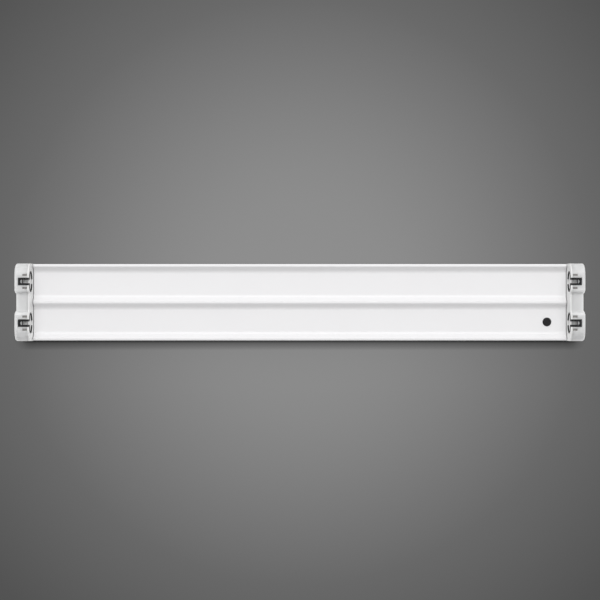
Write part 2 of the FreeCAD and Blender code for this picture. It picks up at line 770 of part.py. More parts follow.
def notch(name, low):
    """The notch in a hump that the pin guide fills, down to a depth."""
    return box(name, (f"{HOLDER_FACE} - {OVERRUN}", f"{HOLDER_FACE} + notch_length"),
               (f"{LAMP_Y} - notch_half", f"{LAMP_Y} + notch_half"), (f"-(hump_depth + {OVERRUN})", f"-{low}"))


def contact_windows(name):
    """Two small windows in the front of a hump, one over each contact."""
    pieces = [holder_box(f"{name}_{word}", "window_near", "window_far", "window_start", "window_end",
                         "hump_depth - cap_wall * 2", f"hump_depth + {OVERRUN}", flank)
              for word, flank in (("near", "-"), ("far", "+"))]
    return joined(name, *pieces)


def make_plate():
    """The right holder plate, with openings for the rotors, a window for the leads and ribs for the contacts."""
    outline = cap_outline()
    end = f"{HOLDER_FACE} + plate_thickness"
    skin = prism("plate_skin", "YZ", both_sides(outline), HOLDER_FACE, end, cap_rounds(outline, "0"))

    def ribs(name):
        pieces = []
        for word, flank in (("near", "-"), ("far", "+")):
            pieces.append(holder_box(f"{name}_{word}_inner",
                                     "contact_reach - contact_sheet / 2 - rib_play - rib_wall",
                                     "contact_reach - contact_sheet / 2 - rib_play",
                                     "plate_thickness / 2", "plate_thickness + contact_width / 2",
                                     f"{LAMP_DEPTH} - rib_far", f"{LAMP_DEPTH} - rib_near", flank))
            pieces.append(holder_box(f"{name}_{word}_outer",
                                     "contact_reach + contact_sheet / 2 + rib_play",
                                     "contact_reach + contact_sheet / 2 + rib_play + rib_wall",
                                     "plate_thickness / 2", "plate_thickness + contact_width / 2",
                                     f"{LAMP_DEPTH} - rib_far", f"{LAMP_DEPTH} - rib_near", flank))
        return group(name, pieces)

    def rotor_hole(name):
        return rod(name, "x", (LAMP_Y, LAMP_Z), "disc_radius + ring_gap", f"{HOLDER_FACE} - {OVERRUN}",
                   f"{end} + {OVERRUN}")

    body = joined("plate_body", skin, *lamp_tools("contact_ribs", ribs))
    window = box("lead_window", (f"{HOLDER_FACE} - {OVERRUN}", f"{end} + {OVERRUN}"),
                 (f"-({CAP_HALF} - plate_window_margin)", f"{CAP_HALF} - plate_window_margin"),
                 ("-plate_window_high", "-plate_window_low"))
    node("holder_plate_right", cut("plate", body, window, *lamp_tools("rotor_hole", rotor_hole),
                                   *lamp_tools("plate_notch", lambda name: notch(name, RING_TOP))))


def make_guide():
    """The black guide of holder b at the right end: a U with a pin passage, a bar and an eye, on a ring."""
    half = "(notch_half - guide_play)"
    face = f"{HOLDER_FACE} + guide_inset"
    plate_end = f"{HOLDER_FACE} + plate_thickness - guide_play"
    end = f"{HOLDER_FACE} + notch_length - guide_play"
    sides = (f"{LAMP_Y} - {half}", f"{LAMP_Y} + {half}")
    low = f"{NOTCH_LOW} + guide_play"
    centre = (LAMP_Y, LAMP_Z)
    front = box("guide_front", (face, plate_end), sides, ("-hump_depth", f"-({RING_TOP} + guide_play)"))
    block = box("guide_block", (face, end), sides, ("-hump_depth", f"-({low})"))
    ring_radius = "disc_radius + ring_gap - guide_play"
    ring_face = f"{HOLDER_FACE} - ring_proud"
    disc = rod("guide_ring_disc", "x", centre, ring_radius, ring_face, plate_end)
    bore = rod("guide_ring_bore", "x", centre, f"{ring_radius} - ring_wall", f"{ring_face} - {OVERRUN}",
               f"{plate_end} + {OVERRUN}")
    break_end = f"{LAMP_DEPTH} - disc_radius - ring_gap - {OVERRUN}"
    ring_break = box("ring_break", (f"{ring_face} - {OVERRUN}", f"{plate_end} + {OVERRUN}"),
                     (f"{LAMP_Y} - ring_break_half", f"{LAMP_Y} + ring_break_half"), (LAMP_Z, f"-({break_end})"))
    passage = box("pin_passage", (f"{ring_face} - {OVERRUN}", f"{HOLDER_FACE} + pin_passage_length"),
                  (f"{LAMP_Y} - pin_passage_half", f"{LAMP_Y} + pin_passage_half"),
                  (f"-(hump_depth + {OVERRUN})", f"-({RING_TOP} - {OVERRUN})"))
    eye = rod("eye_tool", "z", (f"{HOLDER_FACE} + eye_place", LAMP_Y), "eye_radius", f"-(hump_depth + {OVERRUN})",
              f"-({NOTCH_LOW} - {OVERRUN})")
    ring = cut("guide_ring", disc, bore, ring_break)
    open_guide = cut("guide_open", joined("guide_solid", front, block, ring), passage, eye)
    bar = box("guide_bar",
              (f"{HOLDER_FACE} + pin_passage_length", f"{HOLDER_FACE} + pin_passage_length + bar_width"),
              (f"{LAMP_Y} - eye_radius - guide_play", f"{LAMP_Y} + eye_radius + guide_play"),
              (f"-({low} + bar_height)", f"-({low})"))
    return joined("guide", open_guide, bar)


def make_rotor():
    """The rotor of holder b at the right end: a face disc and a drum with a slot for the pins, shown turned shut."""
    face = f"{HOLDER_FACE} + disc_inset"
    back = f"{face} + disc_thickness"
    centre = (LAMP_Y, LAMP_Z)
    disc = rod("rotor_disc", "x", centre, "disc_radius", face, back)
    drum = rod("rotor_drum", "x", centre, "drum_radius", f"{face} + disc_thickness / 2", f"{HOLDER_FACE} + drum_end")
    slot = box("rotor_slot", (f"{HOLDER_FACE} - {OVERRUN}", f"{HOLDER_FACE} + pin_slot_end"),
               (f"{LAMP_Y} - disc_radius - {OVERRUN}", f"{LAMP_Y} + disc_radius + {OVERRUN}"),
               (f"{LAMP_Z} - pin_slot_half", f"{LAMP_Z} + pin_slot_half"))
    bearing = rod("rotor_bearing", "x", centre, "post_radius + bearing_play", f"{HOLDER_FACE} + bearing_start",
                  f"{HOLDER_FACE} + drum_end + {OVERRUN}")
    return cut("rotor", joined("rotor_solid", disc, drum), slot, bearing)


def make_contacts():
    """The two spring contacts of holder b at the right end, each with a folded tip and a crimp for its lead."""
    start = f"{HOLDER_FACE} + plate_thickness + contact_play"
    end = f"{start} + contact_width"
    pieces = []
    for word, flank in (("near", "-"), ("far", "+")):
        path = [
            (f"{LAMP_Y} {flank} contact_near", "-(hump_depth - contact_front_gap)"),
            (f"{LAMP_Y} {flank} contact_near", f"-({LAMP_DEPTH} + contact_bend_reach)"),
            (f"{LAMP_Y} {flank} contact_reach", LAMP_Z),
            (f"{LAMP_Y} {flank} contact_reach", f"-{CONTACT_TAIL}"),
        ]
        low_side = [(f"{across} - contact_sheet / 2", up) for across, up in path]
        high_side = [(f"{across} + contact_sheet / 2", up) for across, up in reversed(path)]
        blade = prism(f"contact_blade_{word}", "YZ", low_side + high_side, start, end)
        crimp = holder_box(f"contact_crimp_{word}", "contact_reach - crimp_half", "contact_reach + crimp_half",
                           "plate_thickness + contact_play", "plate_thickness + contact_play + contact_width",
                           f"{CONTACT_TAIL} - crimp_height", CONTACT_TAIL, flank)
        tip = holder_box(f"contact_tip_{word}", "contact_near - contact_tip_half", "contact_near + contact_tip_half",
                         "plate_thickness + contact_play", "plate_thickness + contact_play + contact_width",
                         "hump_depth - contact_front_gap - contact_sheet", "hump_depth - contact_front_gap", flank)
        pieces.append(joined(f"contact_{word}", blade, crimp, tip))
    return group("contact_pair", pieces)


def spread(name, piece):
    """Names a piece of holder b at the right end, and its mirror images at the other holders."""
    node(f"{name}_right_b", piece)
    other = node(f"{name}_right_a", mirrored(f"{name}_over_y", piece, "y"))
    node(f"{name}_left_b", mirrored(f"{name}_over_x", piece, "x"))
    node(f"{name}_left_a", mirrored(f"{name}_over_both", other, "x"))


def make_cap_screws():
    """The four screws that hold the end caps' tongues to the channel."""
    seat = f"{SEAT_DEPTH} + tongue_thickness"
    places = groove_screw_places()["cap"]
    node("cap_screws", group("cap_screw_group", [screw(f"cap_screw_{count}", *place, seat)
                                                 for count, place in enumerate(places)]))


def make_cover_clips():
    """Spring clips over the channel's flanges, whose bulges press on the cover's skirts."""
    flange_out = "cover_width / 2 - flange_inset + clip_play"
    flange_in = "cover_width / 2 - flange_inset - base_sheet - clip_play"
    top = "flange_end + clip_play"
    outer_low = "flange_end - clip_outer_leg"
    outline = [
        (flange_out, f"-({top})"),
        (flange_out, f"-({top} - clip_outer_leg / 4)"),
        (f"{flange_out} + clip_bulge", f"-({top} - clip_outer_leg / 2)"),
        (flange_out, f"-({outer_low})"),
        (f"{flange_out} + clip_sheet", f"-({outer_low})"),
        (f"{flange_out} + clip_sheet + clip_bulge", f"-({top} - clip_outer_leg / 2)"),
        (f"{flange_out} + clip_sheet", f"-({top} - clip_outer_leg / 4)"),
        (f"{flange_out} + clip_sheet", f"-({top} + clip_sheet)"),
        (f"{flange_in} - clip_sheet", f"-({top} + clip_sheet)"),
        (f"{flange_in} - clip_sheet", "-(flange_end - clip_inner_leg)"),
        (flange_in, "-(flange_end - clip_inner_leg)"),
        (flange_in, f"-({top})"),
    ]
    middle = f"{HOLDER_FACE} - clip_end_inset"
    right = prism("clip_right_b", "YZ", outline, f"{middle} - clip_length / 2", f"{middle} + clip_length / 2")
    over_y = mirrored("clip_right_a", right, "y")
    node("cover_clips", group("clip_group", [right, over_y, mirrored("clip_left_b", right, "x"),
                                             mirrored("clip_left_a", over_y, "x")]))


BALLAST_FOOT = SEAT_DEPTH
BALLAST_TOP = f"{SEAT_DEPTH} + ballast_height"
BOARD_LOW = f"{SEAT_DEPTH} + ballast_sheet + board_rise"
BOARD_TOP = f"{BOARD_LOW} + board_thickness"
TERMINAL_PITCH = f"({BALLAST_HALF} - terminal_strip_inset - terminal_strip_margin) / 3"
LOW_STRIP_HALF = f"({BALLAST_HALF} - terminal_strip_inset)"
HIGH_STRIP_HALF = f"({TERMINAL_PITCH} * 3 / 2 + terminal_strip_margin)"
STRIP_X = {"low": "ballast_start", "high": BALLAST_END}


def wire_entries(name, ways, face, way):
    """Bores for wires that enter a terminal strip's face along X, pointing inwards."""
    ends = (f"{face} - wire_entry_depth", f"{face} + {OVERRUN}")
    if way == "low":
        ends = (f"{face} - {OVERRUN}", f"{face} + wire_entry_depth")
    return [rod(f"{name}_{count}", "x", (across, "-wire_depth"), "wire_radius + wire_entry_play", *ends)
            for count, across in enumerate(ways)]


LEFT_WAYS = [f"{step} * {TERMINAL_PITCH}" for step in (-3, -2, -1, 0, 1, 2, 3)]
RIGHT_WAYS = [f"{step} * {TERMINAL_PITCH} / 2" for step in (-3, -1, 1, 3)]


def make_ballast():
    """The electronic ballast: a tray, a lid, the board and what stands on it."""
    half = BALLAST_HALF
    low = "ballast_start"
    high = BALLAST_END
    strip_top = f"{BOARD_TOP} + terminal_strip_height"
    outer = box("tray_outer", (low, high), (f"-{half}", half), (f"-({BALLAST_TOP})", f"-({BALLAST_FOOT})"))
    inner = box("tray_inner", (f"{low} + ballast_sheet", f"{high} - ballast_sheet"),
                (f"-({half} - ballast_sheet)", f"{half} - ballast_sheet"),
                (f"-({BALLAST_TOP} + {OVERRUN})", f"-({BALLAST_FOOT} + ballast_sheet)"))
    ears = [
        box("ear_low", (f"{low} - ballast_ear", f"{low} + ballast_sheet"), ("groove_near", GROOVE_FAR),
            (f"-({BALLAST_FOOT} + ballast_sheet)", f"-({BALLAST_FOOT})")),
        box("ear_high", (f"{high} - ballast_sheet", f"{high} + ballast_ear"), (f"-{GROOVE_FAR}", "-groove_near"),
            (f"-({BALLAST_FOOT} + ballast_sheet)", f"-({BALLAST_FOOT})")),
    ]
    ear_holes = [rod(f"ear_hole_{count}", "z", place, "screw_radius + thread_play",
                     f"-({BALLAST_FOOT} + ballast_sheet + {OVERRUN})", "0")
                 for count, place in enumerate(groove_screw_places()["ballast"])]
    mouths = [
        box(f"strip_mouth_{side}", ends, (f"-({reach} + lid_play)", f"{reach} + lid_play"),
            (f"-({BALLAST_TOP} + {OVERRUN})", f"-({BOARD_TOP} - lid_play)"))
        for side, ends, reach in (
            ("low", (f"{low} - {OVERRUN}", f"{low} + ballast_sheet + {OVERRUN}"), LOW_STRIP_HALF),
            ("high", (f"{high} - ballast_sheet - {OVERRUN}", f"{high} + {OVERRUN}"), HIGH_STRIP_HALF))
    ]
    standoff_x = ["ballast_start + standoff_inset", f"{BALLAST_END} - standoff_inset"]
    standoff_y = f"({half} - standoff_side_inset)"
    standoffs = [rod(f"standoff_{count}_{flank or '+'}", "z", (across, f"{flank}{standoff_y}"), "standoff_radius",
                     f"-({BOARD_LOW})", f"-({BALLAST_FOOT} + ballast_sheet / 2)")
                 for count, across in enumerate(standoff_x) for flank in ("", "-")]
    tray = cut("tray_walls", outer, inner, *mouths)
    node("ballast_case", cut("ballast_case_solid", joined("tray_body", tray, *ears, *standoffs), *ear_holes))

    lid_in = f"{half} + lid_play"
    lid_low = f"{BALLAST_TOP} - lid_skirt"
    lid_outer = box("lid_outer", (low, high), (f"-({lid_in} + ballast_sheet)", f"{lid_in} + ballast_sheet"),
                    (f"-({BALLAST_TOP} + lid_play + ballast_sheet)", f"-({lid_low})"))
    lid_inner = box("lid_inner", (f"{low} - {OVERRUN}", f"{high} + {OVERRUN}"), (f"-({lid_in})", lid_in),
                    (f"-({BALLAST_TOP} + lid_play)", f"-({lid_low} - {OVERRUN})"))
    node("ballast_lid", cut("ballast_lid_solid", lid_outer, lid_inner))

    board = box("board_plate", (f"{low} + board_margin", f"{high} - board_margin"),
                (f"-({half} - board_margin)", f"{half} - board_margin"), (f"-({BOARD_TOP})", f"-({BOARD_LOW})"))
    node("ballast_board", board)

    strips = []
    for side, ways, reach in (("low", LEFT_WAYS, LOW_STRIP_HALF), ("high", RIGHT_WAYS, HIGH_STRIP_HALF)):
        ends = (f"{STRIP_X[side]} - terminal_strip / 2", f"{STRIP_X[side]} + terminal_strip / 2")
        block = box(f"strip_{side}", ends, (f"-{reach}", reach), (f"-({strip_top})", f"-({BOARD_TOP})"))
        face = ends[0] if side == "low" else ends[1]
        strips.append(cut(f"strip_{side}_solid", block, *wire_entries(f"strip_entry_{side}", ways, face, side)))
    node("ballast_terminals", group("terminal_strips", strips))


def make_ballast_parts():
    """Transformer cores, their windings, capacitors and a heat sink on the ballast's board."""
    place = "(ballast_start + core_inset)"
    cores = []
    windings = []
    for count, flank in enumerate(("", "-")):
        middle = f"{flank}(core_width / 2 + core_wall / 2)"
        across = (f"{place} - core_length / 2", f"{place} + core_length / 2")
        along = (f"{middle} - core_width / 2", f"{middle} + core_width / 2")
        block = box(f"core_block_{count}", across, along, (f"-({BOARD_TOP} + core_height)", f"-({BOARD_TOP})"))
        gap = box(f"core_gap_{count}", (f"{across[0]} + core_wall", f"{across[1]} - core_wall"), along,
                  (f"-({BOARD_TOP} + core_height - core_wall)", f"-({BOARD_TOP}) + {OVERRUN}"))
        leg = rod(f"core_leg_{count}", "z", (place, middle), "core_leg",
                  f"-({BOARD_TOP} + core_height - core_wall / 2)", f"-({BOARD_TOP})")
        cores.append(joined(f"core_{count}", cut(f"core_yoke_{count}", block, gap), leg))
        coil = rod(f"coil_outer_{count}", "z", (place, middle),
                   "core_length / 2 - core_wall - winding_play",
                   f"-({BOARD_TOP} + core_height - core_wall - winding_play)", f"-({BOARD_TOP} + winding_play)")
        bore = rod(f"coil_bore_{count}", "z", (place, middle), "core_leg + winding_play",
                   f"-({BOARD_TOP} + core_height)", f"-({BOARD_TOP}) + {OVERRUN}")
        windings.append(cut(f"winding_{count}", coil, bore))
    node("ballast_cores", group("core_group", cores))
    node("ballast_windings", group("winding_group", windings))

    far = f"{BALLAST_HALF} - capacitor_side_gap"
    cans = []
    for count, flank in enumerate("-+-"):
        ends = ("winding_play", far) if flank == "+" else (f"-({far})", "-winding_play")
        centre = (f"ballast_start + capacitor_inset + {count} * (capacitor_radius * 2 + winding_play)",
                  f"-({BOARD_TOP} + capacitor_radius)")
        cans.append(rod(f"capacitor_{count}", "y", centre, "capacitor_radius", *ends))
    node("ballast_capacitors", group("capacitor_group", cans))

    sink_start = f"{BALLAST_END} - sink_end_inset"
    sink_x = (sink_start, f"{sink_start} + sink_length")
    foot = box("sink_foot_plate", sink_x, ("-sink_foot", "sink_thickness"),
               (f"-({BOARD_TOP} + sink_thickness)", f"-({BOARD_TOP})"))
    fin = box("sink_fin", sink_x, ("0", "sink_thickness"), (f"-({BOARD_TOP} + sink_height)", f"-({BOARD_TOP})"))
    node("ballast_heat_sink", joined("sink", foot, fin))

    seat = f"{BALLAST_FOOT} + ballast_sheet"
    node("ballast_screws", group("ballast_screw_group", [screw(f"ballast_screw_{count}", *place, seat)
                                                         for count, place in
                                                         enumerate(groove_screw_places()["ballast"])]))


POLES = [f"{step} * pole_pitch" for step in (-1, 0, 1)]
BLOCK_ENDS = (f"{BLOCK_PLACE} - block_length / 2", f"{BLOCK_PLACE} + block_length / 2")
POLE_DEPTH = f"{SEAT_DEPTH} + pole_height"


def make_terminal_block():
    """The three-pole mains terminal: a moulded block, brass inserts and clamping screws."""
    top = f"{SEAT_DEPTH} + block_height"
    body = box("block_body", BLOCK_ENDS, ("-block_width / 2", "block_width / 2"), (f"-({top})", f"-({SEAT_DEPTH})"))
    flange = box("block_flange_plate", (f"{BLOCK_PLACE} - block_ear / 2", f"{BLOCK_PLACE} + block_ear / 2"),
                 (f"-({GROOVE_MIDDLE} + block_ear / 2)", f"{GROOVE_MIDDLE} + block_ear / 2"),
                 (f"-({SEAT_DEPTH} + block_flange)", f"-({SEAT_DEPTH})"))
    tools = []
    inserts = []
    screws = []
    for count, along in enumerate(POLES):
        centre = (along, f"-({POLE_DEPTH})")
        tools.append(box(f"pole_bore_{count}", (f"{BLOCK_ENDS[0]} - {OVERRUN}", f"{BLOCK_ENDS[1]} + {OVERRUN}"),
                         (f"{along} - insert_half - insert_play", f"{along} + insert_half + insert_play"),
                         (f"-({POLE_DEPTH} + insert_half + insert_play)",
                          f"-({POLE_DEPTH} - insert_half - insert_play)")))
        insert = box(f"insert_block_{count}", (f"{BLOCK_ENDS[0]} + block_wall", f"{BLOCK_ENDS[1]} - block_wall"),
                     (f"{along} - insert_half", f"{along} + insert_half"),
                     (f"-({POLE_DEPTH} + insert_half)", f"-({POLE_DEPTH} - insert_half)"))
        bore = rod(f"insert_bore_{count}", "x", centre, "wire_radius + wire_entry_play",
                   f"{BLOCK_ENDS[0]} - {OVERRUN}", f"{BLOCK_ENDS[1]} + {OVERRUN}")
        threads = []
        for sign, word in (("-", "in"), ("+", "out")):
            place = (f"{BLOCK_PLACE} {sign} clamp_screw_place", along)
            well_low = f"-({top} + {OVERRUN})"
            tools.append(rod(f"screw_well_{word}_{count}", "z", place, "clamp_screw_radius + insert_play",
                             well_low, f"-({POLE_DEPTH})"))
            threads.append(rod(f"insert_thread_{word}_{count}", "z", place, "clamp_screw_radius + thread_play",
                               well_low, f"-({POLE_DEPTH})"))
            head = f"{POLE_DEPTH} + wire_radius + wire_entry_play + clamp_screw_length"
            shank = rod(f"clamp_shank_{word}_{count}", "z", place, "clamp_screw_radius", f"-({head})",
                        f"-({POLE_DEPTH} + wire_radius + wire_entry_play)")
            slot = box(f"clamp_slot_{word}_{count}",
                       (f"{place[0]} - clamp_slot / 2", f"{place[0]} + clamp_slot / 2"),
                       (f"{along} - clamp_screw_radius * 2", f"{along} + clamp_screw_radius * 2"),
                       (f"-({head} + {OVERRUN})", f"-({head} - clamp_slot_depth)"))
            screws.append(cut(f"clamp_screw_{word}_{count}", shank, slot))
        inserts.append(cut(f"insert_{count}", insert, bore, *threads))
    for count, place in enumerate(groove_screw_places()["block"]):
        tools.append(rod(f"block_hole_{count}", "z", place, "screw_radius + thread_play", f"-({top})", "0"))
    node("terminal_block", cut("block", joined("block_solid", body, flange), *tools))
    node("terminal_inserts", group("insert_group", inserts))
    node("terminal_screws", group("clamp_screw_group", screws))
    seat = f"{SEAT_DEPTH} + block_flange"
    node("terminal_fixing", group("block_screw_group", [screw(f"block_screw_{count}", *place, seat)
                                                        for count, place in
                                                        enumerate(groove_screw_places()["block"])]))


def make_earth():
    """The earth stud in a groove, with a ring lug, a washer and a nut on it, and the lead to the mains terminal."""
    centre = ("earth_place", GROOVE_MIDDLE)
    head_low = "groove_rise - stack_play"
    head = rod("stud_head", "z", centre, "stud_head_radius", f"-({head_low})", f"-({head_low} - stud_head_height)")
    shank = rod("stud_shank", "z", centre, "stud_radius", f"-({head_low} + stud_length)", f"-({head_low})")
    node("earth_stud", joined("stud", head, shank))
    lug_low = f"{GROOVE_TOP} + stack_play"
    washer_low = f"{lug_low} + lug_height + stack_play"
    nut_low = f"{washer_low} + washer_height + stack_play"
    ring = rod("washer_ring", "z", centre, "washer_radius", f"-({washer_low} + washer_height)", f"-({washer_low})")
    ring_hole = rod("washer_hole", "z", centre, "stud_radius + stack_play", f"-({washer_low} + washer_height * 2)",
                    f"-({lug_low})")
    node("earth_washer", cut("washer", ring, ring_hole))
    nut = doc.addObject("Part::Prism", "nut_block")
    nut.Polygon = 6
    bind(nut, "Circumradius", "nut_across / 2 / cos(30)")
    along_axis(nut, "z", centre, f"-({nut_low} + nut_height)", f"-({nut_low})")
    nut_hole = rod("nut_hole", "z", centre, "stud_radius + stack_play", f"-({nut_low} + nut_height * 2)",
                   f"-({washer_low})")
    node("earth_nut", cut("nut", nut, nut_hole))
    lug = rod("lug_disc", "z", centre, "lug_radius", f"-({lug_low} + lug_height)", f"-({lug_low})")
    neck = box("lug_neck", ("earth_place", "earth_place + lug_radius * 2"),
               (f"{GROOVE_MIDDLE} - wire_radius", f"{GROOVE_MIDDLE} + wire_radius"),
               (f"-({lug_low} + lug_height + wire_radius * 2)", f"-({lug_low})"))
    neck_room = rod("lug_room", "z", centre, "washer_radius + stack_play",
                    f"-({lug_low} + lug_height + wire_radius * 4)", f"-({lug_low} + lug_height)")
    lug_hole = rod("lug_hole", "z", centre, "stud_radius + stack_play", f"-({lug_low} + lug_height * 2)",
                   f"-({GROOVE_TOP} - lug_height)")
    ring_lug = cut("ring_lug", joined("lug_solid", lug, neck), neck_room, lug_hole)
    wire_z = f"-({lug_low} + lug_height + wire_radius)"
    end_x = f"{BLOCK_ENDS[0]} + block_wall + wire_end_play"
    lead = tube("earth_wire", [
        ("earth_place + lug_radius * 2", GROOVE_MIDDLE, wire_z),
        ("earth_place + lug_radius * 5", GROOVE_MIDDLE, wire_z),
        (f"{BLOCK_ENDS[0]} - block_length", POLES[2], f"-({POLE_DEPTH})"),
        (end_x, POLES[2], f"-({POLE_DEPTH})"),
    ], "wire_radius", ["wire_bend", "wire_bend"])
    node("earth_lead", group("earth_lead_group", [ring_lug, lead]))


LANE_ENDS = (f"(-({HOLDER_FACE} - left_fan_inset - left_fan_run))",
             f"({STRIP_X['low']} - terminal_strip / 2 - left_gather_gap - left_gather_run)")


def make_leads():
    """The mains leads from the terminal to the ballast, and the lamp leads to both ends."""
    level = "-wire_depth"
    strip_face = f"{STRIP_X['low']} - terminal_strip / 2"
    middle_x = f"({BLOCK_ENDS[1]} + {strip_face}) / 2"
    mains = []
    for count, (pole, way) in enumerate(zip(POLES, LEFT_WAYS[2:5])):
        mains.append(tube(f"mains_lead_{count}", [
            (f"{BLOCK_ENDS[1]} - block_wall - wire_end_play", pole, f"-({POLE_DEPTH})"),
            (f"{middle_x} - wire_bend", pole, f"-({POLE_DEPTH})"),
            (f"{middle_x} + wire_bend", way, level),
            (f"{strip_face} + wire_entry_depth - wire_end_play", way, level),
        ], "wire_radius", ["wire_bend", "wire_bend"]))
    node("mains_leads", group("mains_lead_group", mains))

    crimp_x = f"({HOLDER_FACE} + plate_thickness + contact_play + contact_width / 2)"
    crimp_z = f"-({CONTACT_TAIL} - crimp_height)"
    right_face = f"{STRIP_X['high']} + terminal_strip / 2"
    right_fan = f"({HOLDER_FACE} - right_fan_inset)"
    right_gather = f"({right_face}) + right_fan_share * ({right_fan} - ({right_face}))"
    inner_y = f"{LAMP_Y} - contact_reach"
    outer_y = f"{LAMP_Y} + contact_reach"
    right = []
    for flank, ways in (("", RIGHT_WAYS[2:]), ("-", RIGHT_WAYS[1::-1])):
        for place, way in zip((inner_y, outer_y), ways):
            right.append(tube(f"right_lead_{len(right)}", [
                (crimp_x, f"{flank}({place})", crimp_z),
                (crimp_x, f"{flank}({place})", level),
                (right_fan, f"{flank}({place})", level),
                (right_gather, way, level),
                (f"{right_face} - wire_entry_depth + wire_end_play", way, level),
            ], "wire_radius", ["wire_bend", "wire_sweep", "wire_sweep"]))
    node("lamp_leads_right", group("right_lead_group", right))

    left = []
    for flank, ways in (("", LEFT_WAYS[:4:-1]), ("-", LEFT_WAYS[:2])):
        for place, lane, way in zip((outer_y, inner_y), (LANE_FAR, LANE_NEAR), ways):
            left.append(tube(f"left_lead_{len(left)}", [
                (f"-{crimp_x}", f"{flank}({place})", crimp_z),
                (f"-{crimp_x}", f"{flank}({place})", level),
                (f"-({HOLDER_FACE} - left_fan_inset)", f"{flank}({place})", level),
                (LANE_ENDS[0], f"{flank}{lane}", level),
                (LANE_ENDS[1], f"{flank}{lane}", level),
                (f"{LANE_ENDS[1]} + left_gather_run", way, level),
                (f"{strip_face} + wire_entry_depth - wire_end_play", way, level),
            ], "wire_radius", ["wire_bend", "wire_sweep", "wire_sweep", "wire_bend", "wire_bend"]))
    node("lamp_leads_left", group("left_lead_group", left))


def make_wire_clips():
    """Saddles on the channel's floor that hold the left lamp leads side by side."""
    foot = "base_sheet + stack_play"
    room = "(wire_radius + saddle_play)"
    crown = f"wire_depth + {room} + saddle_wall"
    pieces = []
    for count, share in enumerate(("saddle_first_share", "saddle_second_share")):
        across = f"{LANE_ENDS[0]} + {share} * ({LANE_ENDS[1]} - {LANE_ENDS[0]})"
        ends = (f"{across} - saddle_length / 2", f"{across} + saddle_length / 2")
        outer = box(f"saddle_{count}", ends,
                    (f"{LANE_NEAR} - {room} - saddle_wall", f"{LANE_FAR} + {room} + saddle_wall"),
                    (f"-({crown})", f"-({foot})"))
        inner = box(f"saddle_room_{count}", (f"{ends[0]} - {OVERRUN}", f"{ends[1]} + {OVERRUN}"),
                    (f"{LANE_NEAR} - {room}", f"{LANE_FAR} + {room}"),
                    (f"-(wire_depth + {room})", f"-(wire_depth - {room})"))
        hollow = box(f"saddle_hollow_{count}", (f"{ends[0]} - {OVERRUN}", f"{ends[1]} + {OVERRUN}"),
                     (f"{LANE_NEAR} - {room} + saddle_wall", f"{LANE_FAR} + {room} - saddle_wall"),
                     (f"-(wire_depth - {room} - saddle_wall)", f"-({foot} + saddle_wall)"))
        clip = cut(f"saddle_clip_{count}", outer, inner, hollow)
        pieces += [clip, mirrored(f"saddle_clip_{count}_a", clip, "y")]
    node("wire_clips", group("saddle_group", pieces))


make_cover()
make_plug()
make_base()
make_grommet()
make_cap()
make_plate()
node("end_cap_left", mirrored("cap_left", nodes["end_cap_right"], "x"))
node("holder_plate_left", mirrored("plate_left", nodes["holder_plate_right"], "x"))
spread("pin_guide", make_guide())
spread("rotor", make_rotor())
spread("contact_pair", make_contacts())
make_cap_screws()
make_cover_clips()
make_ballast()
make_ballast_parts()
make_terminal_block()
make_earth()
make_leads()
make_wire_clips()
doc.recompute()

failed = [thing.Name for thing in doc.Objects if {"Invalid", "Error"} & set(thing.State)]
failed += [name for name, solid in nodes.items() if solid.Shape.isNull() or not solid.Shape.isValid()]
if failed:
    raise RuntimeError("these objects failed: " + ", ".join(failed))

os.makedirs("parts", exist_ok=True)
for name, solid in nodes.items():
    solid.Shape.exportStep(f"parts/{name}.step")
    print(name, len(solid.Shape.Solids), round(solid.Shape.Volume, 1))
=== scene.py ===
"""A twin tube light fixture without its tubes, hanging below a grey ceiling and seen square-on from below.

Metres, in the part's own frame: the ceiling is the plane z = 0 and the fixture hangs to -Z. X runs along the
fixture, and lamp a lies at -Y, which is the top of the picture.
"""
import json
import math
import bpy
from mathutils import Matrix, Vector

MM = 0.001

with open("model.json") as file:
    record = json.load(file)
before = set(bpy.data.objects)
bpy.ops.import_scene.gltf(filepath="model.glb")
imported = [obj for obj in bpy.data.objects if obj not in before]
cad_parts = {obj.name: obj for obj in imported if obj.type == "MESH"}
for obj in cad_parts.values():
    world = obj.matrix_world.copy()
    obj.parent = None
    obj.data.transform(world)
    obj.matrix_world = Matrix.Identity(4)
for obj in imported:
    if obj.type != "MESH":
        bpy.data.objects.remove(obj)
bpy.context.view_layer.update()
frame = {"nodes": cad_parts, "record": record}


def part(name):
    """The object of one CAD node."""
    return frame["nodes"][name]


# Camera

CAMERA_DISTANCE = 2150 * MM
FRONT_DEPTH = 70 * MM
AIM = (0.1 * MM, -2.5 * MM)
# Millimetres, as Blender counts them
LENS = 118.4
SENSOR_WIDTH = 36


def make_camera():
    """A long lens that looks straight up at the fixture, with lamp a at the top of the picture."""
    data = bpy.data.cameras.new("camera")
    data.lens = LENS
    data.sensor_width = SENSOR_WIDTH
    camera = bpy.data.objects.new("camera", data)
    bpy.context.scene.collection.objects.link(camera)
    camera.location = (*AIM, -(CAMERA_DISTANCE + FRONT_DEPTH))
    camera.rotation_euler = (math.pi, 0, 0)
    bpy.context.scene.camera = camera


# Materials

# How far apart a wave texture's bands lie at a scale of 1
WAVE_PERIOD = 2 * math.pi / 20
# A Mix node's sockets for colours
MIX_FIRST, MIX_SECOND, MIX_RESULT = 6, 7, 2


